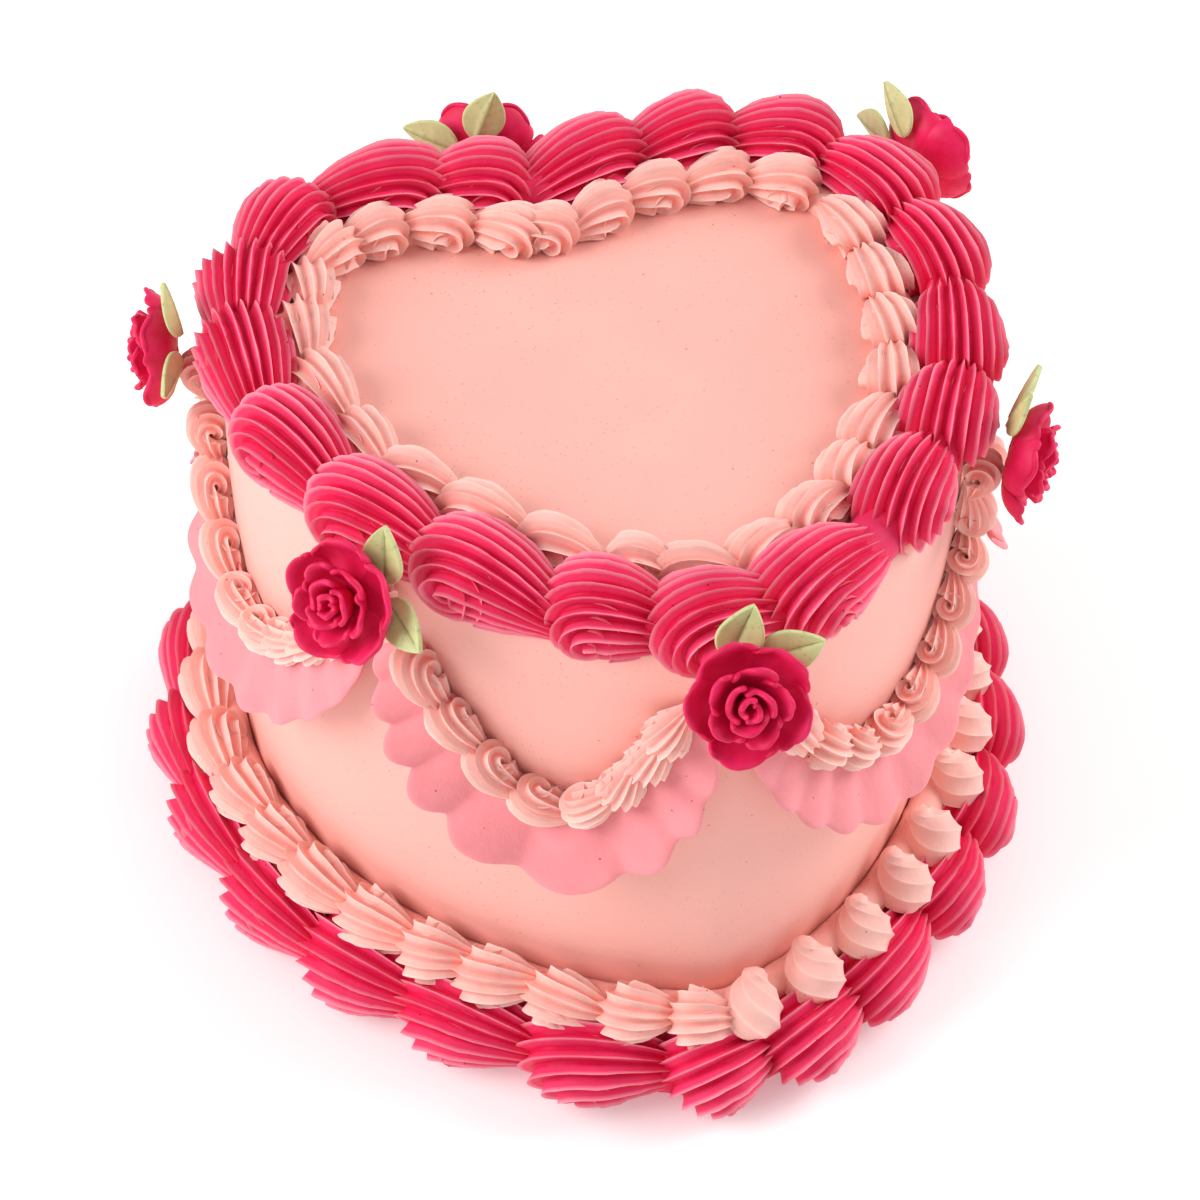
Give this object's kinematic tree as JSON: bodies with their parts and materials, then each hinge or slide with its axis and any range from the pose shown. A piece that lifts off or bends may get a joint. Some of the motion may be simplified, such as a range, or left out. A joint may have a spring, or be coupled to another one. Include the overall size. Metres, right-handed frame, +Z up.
{
  "type": "heart shaped cake",
  "caption": "Tall heart shaped layer cake, smooth pale icing, with ridged shell borders round top and base, swags over frills on the wall and sugar roses with leaves.",
  "frame": {"origin": "on the surface that the cake stands on, under the middle of the iced heart", "axes": "+Z up; -Y towards the heart's tip, the front; +Y towards the cleft; +X to the cake's right lobe as seen from the front"},
  "size_m": [0.1971, 0.1874, 0.1404],
  "materials": {
    "blush_icing": "smooth matt pale peach pink icing",
    "peach_icing": "satin peach icing, piped in ridges",
    "hot_pink_icing": "satin hot pink icing, piped in ridges",
    "frill_icing": "satin pink icing, piped in thin waves",
    "rose_sugar": "matt deep raspberry sugar paste",
    "leaf_sugar": "matt pale green sugar paste"
  },
  "bodies": {
    "root": {"cake_body": "blush_icing", "top_border": "hot_pink_icing", "top_inner_border": "peach_icing", "base_border": "hot_pink_icing", "base_collar": "peach_icing", "swag_1": "peach_icing", "frill_1": "frill_icing", "rose_dab_1": "peach_icing", "rose_1": "rose_sugar", "leaf_1a": "leaf_sugar", "leaf_1b": "leaf_sugar", "swag_2": "peach_icing", "frill_2": "frill_icing", "rose_dab_2": "peach_icing", "rose_2": "rose_sugar", "leaf_2a": "leaf_sugar", "leaf_2b": "leaf_sugar", "swag_3": "peach_icing", "frill_3": "frill_icing", "rose_dab_3": "peach_icing", "rose_3": "rose_sugar", "leaf_3a": "leaf_sugar", "leaf_3b": "leaf_sugar", "swag_4": "peach_icing", "frill_4": "frill_icing", "rose_dab_4": "peach_icing", "rose_4": "rose_sugar", "leaf_4a": "leaf_sugar", "leaf_4b": "leaf_sugar", "swag_5": "peach_icing", "frill_5": "frill_icing", "rose_dab_5": "peach_icing", "rose_5": "rose_sugar", "leaf_5a": "leaf_sugar", "leaf_5b": "leaf_sugar", "swag_6": "peach_icing", "frill_6": "frill_icing", "rose_dab_6": "peach_icing", "rose_6": "rose_sugar", "leaf_6a": "leaf_sugar", "leaf_6b": "leaf_sugar"}
  },
  "joints": []
}
